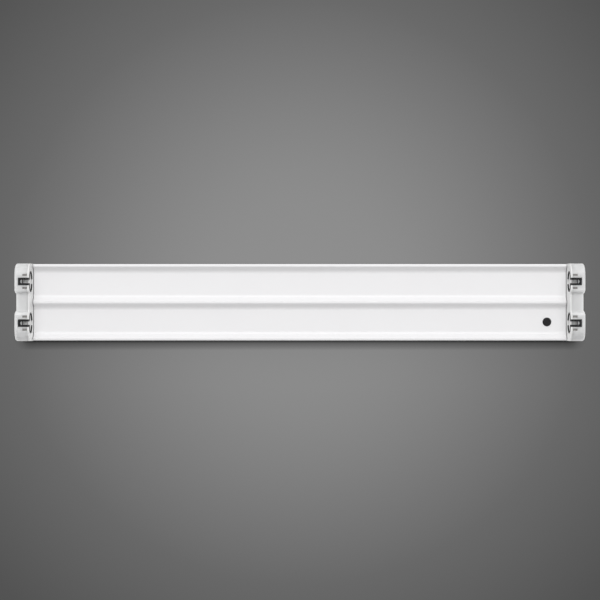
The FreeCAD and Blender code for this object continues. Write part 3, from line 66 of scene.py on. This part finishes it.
class Finish:
    """A procedural material round one Principled shader. Even values sit on the shader's own sockets."""

    def __init__(self, name, **sockets):
        self.material = bpy.data.materials.new(name)
        self.material.use_nodes = True
        self.tree = self.material.node_tree
        self.shader = self.tree.nodes["Principled BSDF"]
        self.normal = None
        for socket, value in sockets.items():
            self.shader.inputs[socket.replace("_", " ")].default_value = value
        coordinates = self.add("ShaderNodeTexCoord")
        self.place = coordinates.outputs["Object"]
        self.facing = coordinates.outputs["Normal"]

    def add(self, kind, **settings):
        """A new node with some of its settings."""
        node = self.tree.nodes.new(kind)
        for name, value in settings.items():
            setattr(node, name, value)
        return node

    def join(self, source, target):
        self.tree.links.new(source, target)

    def stretched(self, stretch):
        """The object's own coordinates, with each axis drawn out by a factor."""
        mapping = self.add("ShaderNodeMapping")
        mapping.inputs["Scale"].default_value = [1 / factor for factor in stretch]
        self.join(self.place, mapping.inputs["Vector"])
        return mapping.outputs["Vector"]

    def noise(self, size, detail, stretch=None, rough=0.5):
        """Soft clouds whose patches measure about size."""
        texture = self.add("ShaderNodeTexNoise")
        texture.inputs["Scale"].default_value = 1 / size
        texture.inputs["Detail"].default_value = detail
        texture.inputs["Roughness"].default_value = rough
        self.join(self.stretched(stretch) if stretch else self.place, texture.inputs["Vector"])
        return texture.outputs["Fac"]

    def cells(self, size, output="Color", feature="F1"):
        """Crystals whose grains measure about size."""
        texture = self.add("ShaderNodeTexVoronoi", feature=feature)
        texture.inputs["Scale"].default_value = 1 / size
        self.join(self.place, texture.inputs["Vector"])
        return texture.outputs[output]

    def bands(self, size):
        """Even waves along Z, size apart."""
        texture = self.add("ShaderNodeTexWave", wave_type="BANDS", bands_direction="Z")
        texture.inputs["Scale"].default_value = WAVE_PERIOD / size
        self.join(self.place, texture.inputs["Vector"])
        return texture.outputs["Fac"]

    def along(self, letter, source=None):
        """One coordinate of a vector, the place where none is given."""
        split = self.add("ShaderNodeSeparateXYZ")
        self.join(source or self.place, split.inputs["Vector"])
        return split.outputs[letter]

    def ranged(self, factor, low, high, start=0.3, end=0.7):
        """The factor's stretch from start to end, spread from low to high."""
        spread = self.add("ShaderNodeMapRange")
        for socket, value in (("From Min", start), ("From Max", end), ("To Min", low), ("To Max", high)):
            spread.inputs[socket].default_value = value
        self.join(factor, spread.inputs["Value"])
        return spread.outputs["Result"]

    def above(self, factor, level):
        """1 where the factor is above a level, else 0."""
        step = self.add("ShaderNodeMath", operation="GREATER_THAN")
        self.join(factor, step.inputs[0])
        step.inputs[1].default_value = level
        return step.outputs["Value"]

    def mixed(self, factor, first, second):
        """A colour between two, each a colour or another node's output."""
        mix = self.add("ShaderNodeMix", data_type="RGBA")
        self.join(factor, mix.inputs["Factor"])
        for socket, colour in ((mix.inputs[MIX_FIRST], first), (mix.inputs[MIX_SECOND], second)):
            if isinstance(colour, tuple):
                socket.default_value = (*colour, 1)
            else:
                self.join(colour, socket)
        return mix.outputs[MIX_RESULT]

    def colour(self, source):
        self.join(source, self.shader.inputs["Base Color"])

    def roughness(self, source):
        self.join(source, self.shader.inputs["Roughness"])

    def metallic(self, source):
        self.join(source, self.shader.inputs["Metallic"])

    def relief(self, height, depth, strength):
        """Adds bumps of a depth in metres, on top of those added before."""
        bump = self.add("ShaderNodeBump")
        bump.inputs["Distance"].default_value = depth
        bump.inputs["Strength"].default_value = strength
        self.join(height, bump.inputs["Height"])
        if self.normal:
            self.join(self.normal, bump.inputs["Normal"])
        self.normal = bump.outputs["Normal"]
        self.join(self.normal, self.shader.inputs["Normal"])


def white_enamel():
    """Satin white stove enamel with a fine orange peel."""
    finish = Finish("white_enamel", Specular_IOR_Level=0.45, Coat_Weight=0.15, Coat_Roughness=0.3)
    finish.colour(finish.mixed(finish.noise(45 * MM, 3), (0.845, 0.838, 0.848), (0.868, 0.864, 0.872)))
    finish.roughness(finish.ranged(finish.noise(7 * MM, 4), 0.34, 0.44))
    finish.relief(finish.noise(1.1 * MM, 2), 0.02 * MM, 0.4)
    finish.relief(finish.noise(14 * MM, 1), 0.05 * MM, 0.25)
    return finish


def cap_plastic():
    """Milky translucent moulding, its tone clouded a little at random."""
    finish = Finish("cap_plastic", IOR=1.5, Specular_IOR_Level=0.5,
                    Subsurface_Weight=1.0, Subsurface_Scale=7 * MM, Subsurface_Radius=(1, 1, 1))
    finish.colour(finish.mixed(finish.noise(22 * MM, 1), (0.805, 0.81, 0.815), (0.835, 0.84, 0.845)))
    finish.roughness(finish.ranged(finish.noise(18 * MM, 1), 0.26, 0.34, 0, 1))
    finish.relief(finish.noise(14 * MM, 1), 0.04 * MM, 0.2)
    return finish


def rotor_plastic():
    """White moulded plastic of the rotors."""
    finish = Finish("rotor_plastic", IOR=1.5,
                    Subsurface_Weight=0.3, Subsurface_Scale=2 * MM, Subsurface_Radius=(1, 1, 1))
    finish.colour(finish.mixed(finish.noise(6 * MM, 3), (0.80, 0.80, 0.795), (0.86, 0.86, 0.855)))
    finish.roughness(finish.ranged(finish.noise(3 * MM, 3), 0.28, 0.4))
    finish.relief(finish.noise(0.8 * MM, 2), 0.01 * MM, 0.4)
    return finish


def guide_plastic():
    """Black moulded plastic with a slight sheen."""
    finish = Finish("guide_plastic", IOR=1.5, Specular_IOR_Level=0.3)
    finish.colour(finish.mixed(finish.noise(3 * MM, 3), (0.007, 0.007, 0.008), (0.013, 0.013, 0.014)))
    finish.roughness(finish.ranged(finish.noise(2 * MM, 3), 0.32, 0.48))
    finish.relief(finish.noise(0.5 * MM, 2), 0.01 * MM, 0.5)
    return finish


def black_rubber():
    """Matt black rubber with a dusty bloom."""
    finish = Finish("black_rubber", Specular_IOR_Level=0.3)
    finish.colour(finish.mixed(finish.noise(4 * MM, 4), (0.008, 0.007, 0.008), (0.014, 0.013, 0.014)))
    finish.roughness(finish.ranged(finish.noise(2 * MM, 3), 0.5, 0.7))
    finish.relief(finish.noise(0.6 * MM, 3), 0.02 * MM, 0.5)
    return finish


def metal(name, dark, light, grain, smooth, coarse, stretch=None):
    """A bare or plated metal, clouded at the size of its grain and drawn out where it is brushed."""
    finish = Finish(name, Metallic=1.0)
    cloud = finish.noise(grain, 4, stretch, 0.6)
    finish.colour(finish.mixed(finish.ranged(cloud, 0, 1), dark, light))
    finish.roughness(finish.ranged(finish.noise(grain / 2, 4, stretch), smooth, coarse))
    finish.relief(finish.noise(grain / 3, 3, stretch), 0.01 * MM, 0.5)
    return finish


def galvanised():
    """Galvanised sheet with its spangle."""
    finish = Finish("ballast_tin", Metallic=1.0)
    grey = finish.add("ShaderNodeRGBToBW")
    finish.join(finish.cells(4 * MM), grey.inputs["Color"])
    finish.colour(finish.mixed(grey.outputs["Val"], (0.58, 0.60, 0.62), (0.76, 0.77, 0.78)))
    finish.roughness(finish.ranged(grey.outputs["Val"], 0.30, 0.48, 0, 1))
    finish.relief(finish.noise(1.5 * MM, 3), 0.01 * MM, 0.4)
    return finish


# Half a track's width, with a cell's size as 1
TRACK_HALF = 0.12


def board_laminate():
    """Green lacquered board, with paler tracks under the lacquer."""
    finish = Finish("board_laminate", Coat_Weight=0.4, Coat_Roughness=0.15)
    tracks = finish.cells(5 * MM, "Distance", "DISTANCE_TO_EDGE")
    wide = finish.above(tracks, TRACK_HALF)
    finish.colour(finish.mixed(wide, (0.10, 0.27, 0.13), (0.05, 0.17, 0.08)))
    finish.roughness(finish.ranged(finish.noise(2 * MM, 3), 0.3, 0.5))
    finish.relief(wide, 0.03 * MM, 0.5)
    return finish


def ferrite():
    """Matt dark grey ceramic."""
    finish = Finish("ferrite")
    finish.colour(finish.mixed(finish.noise(2 * MM, 4), (0.045, 0.045, 0.05), (0.085, 0.085, 0.09)))
    finish.roughness(finish.ranged(finish.noise(1 * MM, 3), 0.5, 0.7))
    finish.relief(finish.noise(0.4 * MM, 3), 0.02 * MM, 0.6)
    return finish


def copper_wire():
    """Enamelled copper, wound in fine turns, with painted shade darkening the colour between the turns."""
    finish = Finish("copper_wire", Metallic=0.9, Coat_Weight=0.4, Coat_Roughness=0.1)
    turns_and_painted_shade = finish.bands(0.45 * MM)
    # Painted shade and highlight: the copper is darker between the turns and lighter on their crowns
    finish.colour(finish.mixed(turns_and_painted_shade, (0.42, 0.16, 0.06), (0.80, 0.38, 0.18)))
    finish.roughness(finish.ranged(finish.noise(2 * MM, 2), 0.25, 0.35))
    finish.relief(turns_and_painted_shade, 0.12 * MM, 0.8)
    return finish


MOULDED_CLOUD = 4 * MM


def moulded(name, dark, light, smooth, coarse):
    """Plain moulded plastic or sleeving in one colour."""
    finish = Finish(name, IOR=1.48)
    finish.colour(finish.mixed(finish.noise(MOULDED_CLOUD, 3), dark, light))
    finish.roughness(finish.ranged(finish.noise(MOULDED_CLOUD / 2, 3), smooth, coarse))
    finish.relief(finish.noise(MOULDED_CLOUD / 6, 2), 0.01 * MM, 0.5)
    return finish


# Where the three mains leads part, across the fixture, and where the earth lead's bare lug ends along it
MAINS_GAP = 3.5 * MM
LUG_END = -137 * MM
STRIPE_EDGE = 0.1
GREEN = (0.05, 0.30, 0.07)
YELLOW = (0.85, 0.68, 0.06)
BROWN = (0.16, 0.055, 0.022)
BLUE = (0.03, 0.13, 0.52)


def earth_stripes(finish):
    """Green and yellow stripes along a lead."""
    return finish.mixed(finish.above(finish.along("Z", finish.facing), STRIPE_EDGE), YELLOW, GREEN)


def mains_sheath():
    """Brown, blue and striped sheaths, told apart by their place across the fixture."""
    finish = Finish("mains_sheath", IOR=1.48)
    across = finish.along("Y")
    first_two = finish.mixed(finish.above(across, -MAINS_GAP), BROWN, BLUE)
    finish.colour(finish.mixed(finish.above(across, MAINS_GAP), first_two, earth_stripes(finish)))
    finish.roughness(finish.ranged(finish.noise(2 * MM, 3), 0.3, 0.45))
    return finish


def earth_sheath():
    """A striped sheath, and the bare tinned lug at its end."""
    finish = Finish("earth_sheath", IOR=1.48)
    sheath = finish.above(finish.along("X"), LUG_END)
    bare = finish.ranged(sheath, 1, 0, 0, 1)
    finish.colour(finish.mixed(sheath, (0.68, 0.68, 0.67), earth_stripes(finish)))
    finish.metallic(bare)
    finish.roughness(finish.ranged(finish.noise(2 * MM, 3), 0.28, 0.42))
    return finish


# Each metal's dark and light tone, grain, lowest and highest roughness, and stretch where it is brushed
METALS = {
    "contact_metal": ((0.24, 0.235, 0.23), (0.40, 0.39, 0.375), 3 * MM, 0.3, 0.45),
    "zinc_steel": ((0.56, 0.57, 0.58), (0.74, 0.75, 0.76), 2 * MM, 0.22, 0.4),
    "spring_steel": ((0.20, 0.22, 0.26), (0.32, 0.34, 0.38), 3 * MM, 0.25, 0.4),
    "sink_aluminium": ((0.62, 0.63, 0.64), (0.78, 0.79, 0.80), 2 * MM, 0.28, 0.42, (12, 1, 1)),
    "terminal_brass": ((0.58, 0.40, 0.14), (0.74, 0.55, 0.24), 2 * MM, 0.22, 0.36),
}

# Each plain moulding's dark and light tone, and its lowest and highest roughness
MOULDINGS = {
    "capacitor_sleeve": ((0.018, 0.022, 0.05), (0.03, 0.035, 0.075), 0.2, 0.32),
    "terminal_plastic": ((0.66, 0.66, 0.63), (0.74, 0.74, 0.71), 0.35, 0.5),
    "lead_sheath": ((0.70, 0.70, 0.68), (0.80, 0.80, 0.78), 0.3, 0.42),
}

# The slots whose finish has a function of its own
SPECIAL = {
    "white_enamel": white_enamel,
    "cap_plastic": cap_plastic,
    "rotor_plastic": rotor_plastic,
    "guide_plastic": guide_plastic,
    "black_rubber": black_rubber,
    "ballast_tin": galvanised,
    "board_laminate": board_laminate,
    "ferrite": ferrite,
    "copper_wire": copper_wire,
    "mains_sheath": mains_sheath,
    "earth_sheath": earth_sheath,
}


def finish_of(slot):
    """The finish of one material slot."""
    if slot in METALS:
        return metal(slot, *METALS[slot])
    if slot in MOULDINGS:
        return moulded(slot, *MOULDINGS[slot])
    return SPECIAL[slot]()


def dress_parts():
    """Gives each CAD node the finish of its slot in the record."""
    made = {}
    for row in frame["record"]["subparts"]:
        slot = row["material_slot"]
        if slot not in made:
            made[slot] = finish_of(slot).material
        for holder in part(row["node"]).material_slots:
            holder.material = made[slot]


# Room and light

CEILING_SIZE = 6.0
CEILING_GAP = 0.3 * MM
# The ceiling's painted light: its tone at growing distances from the brightest place of a painted pool of
# light, in metres
CEILING_PAINTED_LIGHT = (
    (0.0, 0.272),
    (0.10, 0.266),
    (0.17, 0.240),
    (0.25, 0.190),
    (0.33, 0.143),
    (0.47, 0.086),
    (0.75, 0.05),
)
# The centre of the ceiling's painted pool of light
PAINTED_LIGHT_CENTRE = (0, -12 * MM, 0)
# How far beside the fixture the painted contact shadow darkens the ceiling: softly, and once more close by
PAINTED_SHADOW_REACHES = (12 * MM, 4.5 * MM)
# The axis the painted contact shadow looks along, so that it falls mostly on one side of the fixture
PAINTED_SHADOW_TILT = (0, -0.85, -0.53)
# The share of the ceiling that is diffuse paint lit by the lamps; the rest glows with the painted light and
# shadow
PAINT_SHARE = 0.2
FLOOR_LEVEL = -2.6
FLOOR_SIZE = 160.0
FLOOR_PATCH = 0.6
FLOOR_SPREAD = 0.02
BACKDROP_TONE = 0.56
WORLD_STRENGTH = 0.58
KEY_PLACE = Vector((0, -1.25, -1.85))
KEY_SIZE = 1.6
KEY_POWER = 26.5
SIDE_PLACE = Vector((0, -1.9, -1.1))
SIDE_SIZE = 1.0
SIDE_POWER = 2.2
REAR_PLACE = Vector((1.3, 1.1, 1.0))
REAR_SIZE = 1.4
REAR_POWER = 8


def plane(name, size, height, facing_down):
    """A square sheet that isn't part of the object."""
    half = size / 2
    corners = [(-half, -half, height), (half, -half, height), (half, half, height), (-half, half, height)]
    mesh = bpy.data.meshes.new(name)
    mesh.from_pydata(corners, [], [(3, 2, 1, 0) if facing_down else (0, 1, 2, 3)])
    sheet = bpy.data.objects.new(name, mesh)
    bpy.context.scene.collection.objects.link(sheet)
    return sheet


def make_ceiling():
    """The grey ceiling: it glows with a painted pool of light and a painted contact shadow beside the
    fixture, mixed with a small share of diffuse paint lit by the lamps, and it is open from behind.
    """
    ceiling = plane("ceiling", CEILING_SIZE, CEILING_GAP, True)
    for ray in ("visible_diffuse", "visible_glossy", "visible_shadow", "visible_volume_scatter"):
        setattr(ceiling, ray, False)
    material = bpy.data.materials.new("ceiling_painted_light_and_shadow")
    material.use_nodes = True
    tree = material.node_tree
    tree.nodes.clear()
    place = tree.nodes.new("ShaderNodeTexCoord")
    distance = tree.nodes.new("ShaderNodeVectorMath")
    distance.operation = "DISTANCE"
    distance.inputs[1].default_value = PAINTED_LIGHT_CENTRE
    # A painted pool of light: the ceiling's tone falls off with distance from its brightest place
    painted_light_tones = tree.nodes.new("ShaderNodeValToRGB")
    painted_light_tones.color_ramp.interpolation = "B_SPLINE"
    while len(painted_light_tones.color_ramp.elements) < len(CEILING_PAINTED_LIGHT):
        painted_light_tones.color_ramp.elements.new(1)
    for stop, (reach, tone) in zip(painted_light_tones.color_ramp.elements, CEILING_PAINTED_LIGHT):
        stop.position = reach
        stop.color = (tone, tone, tone, 1)
    tilt = tree.nodes.new("ShaderNodeCombineXYZ")
    for socket, value in zip(tilt.inputs, PAINTED_SHADOW_TILT):
        socket.default_value = value
    shaded = painted_light_tones.outputs["Color"]
    # Painted contact shadow: ambient occlusion darkens the ceiling's tone beside the fixture
    for reach in PAINTED_SHADOW_REACHES:
        painted_shadow = tree.nodes.new("ShaderNodeAmbientOcclusion")
        painted_shadow.inputs["Distance"].default_value = reach
        tree.links.new(tilt.outputs["Vector"], painted_shadow.inputs["Normal"])
        tree.links.new(shaded, painted_shadow.inputs["Color"])
        shaded = painted_shadow.outputs["Color"]
    # The ceiling glows with this painted light and shadow, mixed with a little diffuse paint
    glow = tree.nodes.new("ShaderNodeEmission")
    paint = tree.nodes.new("ShaderNodeBsdfDiffuse")
    front = tree.nodes.new("ShaderNodeMixShader")
    front.inputs["Fac"].default_value = PAINT_SHARE
    open_side = tree.nodes.new("ShaderNodeBsdfTransparent")
    side = tree.nodes.new("ShaderNodeNewGeometry")
    mix = tree.nodes.new("ShaderNodeMixShader")
    out = tree.nodes.new("ShaderNodeOutputMaterial")
    for source, target in (
        (place.outputs["Object"], distance.inputs[0]),
        (distance.outputs["Value"], painted_light_tones.inputs["Fac"]),
        (shaded, glow.inputs["Color"]),
        (shaded, paint.inputs["Color"]),
        (glow.outputs["Emission"], front.inputs[1]),
        (paint.outputs["BSDF"], front.inputs[2]),
        (side.outputs["Backfacing"], mix.inputs["Fac"]),
        (front.outputs["Shader"], mix.inputs[1]),
        (open_side.outputs["BSDF"], mix.inputs[2]),
        (mix.outputs["Shader"], out.inputs["Surface"]),
    ):
        tree.links.new(source, target)
    ceiling.data.materials.append(material)


def make_floor():
    """The plain pale floor, far below the fixture and the camera."""
    floor = plane("floor", FLOOR_SIZE, FLOOR_LEVEL, False)
    floor.visible_diffuse = False
    finish = Finish("floor_paint", Specular_IOR_Level=0.0, Roughness=0.8,
                    Emission_Color=(BACKDROP_TONE, BACKDROP_TONE, BACKDROP_TONE, 1),
                    Emission_Strength=1 - WORLD_STRENGTH)
    low = (BACKDROP_TONE * (1 - FLOOR_SPREAD),) * 3
    high = (BACKDROP_TONE * (1 + FLOOR_SPREAD),) * 3
    finish.colour(finish.mixed(finish.noise(FLOOR_PATCH, 2), low, high))
    floor.data.materials.append(finish.material)


def make_world():
    """Even white light from all round, seen directly as the floor's pale grey."""
    world = bpy.data.worlds.new("world")
    bpy.context.scene.world = world
    world.use_nodes = True
    tree = world.node_tree
    tree.nodes.clear()
    rays = tree.nodes.new("ShaderNodeLightPath")
    light = tree.nodes.new("ShaderNodeBackground")
    light.inputs["Strength"].default_value = WORLD_STRENGTH
    light.inputs["Color"].default_value = (1, 1, 1, 1)
    backdrop = tree.nodes.new("ShaderNodeBackground")
    backdrop.inputs["Strength"].default_value = BACKDROP_TONE
    backdrop.inputs["Color"].default_value = (1, 1, 1, 1)
    seen = rays.outputs["Is Camera Ray"]
    for kind in ("Is Glossy Ray", "Is Transmission Ray"):
        either = tree.nodes.new("ShaderNodeMath")
        either.operation = "MAXIMUM"
        tree.links.new(seen, either.inputs[0])
        tree.links.new(rays.outputs[kind], either.inputs[1])
        seen = either.outputs["Value"]
    mix = tree.nodes.new("ShaderNodeMixShader")
    out = tree.nodes.new("ShaderNodeOutputWorld")
    tree.links.new(seen, mix.inputs["Fac"])
    tree.links.new(light.outputs["Background"], mix.inputs[1])
    tree.links.new(backdrop.outputs["Background"], mix.inputs[2])
    tree.links.new(mix.outputs["Shader"], out.inputs["Surface"])


def make_lamp(name, place, size, power):
    """A large soft lamp that points at the fixture and isn't seen itself."""
    data = bpy.data.lights.new(name, "AREA")
    data.shape = "SQUARE"
    data.size = size
    data.energy = power
    lamp = bpy.data.objects.new(name, data)
    bpy.context.scene.collection.objects.link(lamp)
    lamp.location = place
    lamp.rotation_mode = "QUATERNION"
    lamp.rotation_quaternion = (-place).to_track_quat("-Z", "Y")
    lamp.visible_camera = False


def make_room():
    make_ceiling()
    make_floor()
    make_world()
    make_lamp("key_lamp", KEY_PLACE, KEY_SIZE, KEY_POWER)
    make_lamp("side_lamp", SIDE_PLACE, SIDE_SIZE, SIDE_POWER)
    for name, end in (("rear_lamp_right", 1), ("rear_lamp_left", -1)):
        make_lamp(name, REAR_PLACE * Vector((end, 1, 1)), REAR_SIZE, REAR_POWER)


make_camera()
dress_parts()
make_room()
bpy.context.scene.view_settings.view_transform = "Standard"
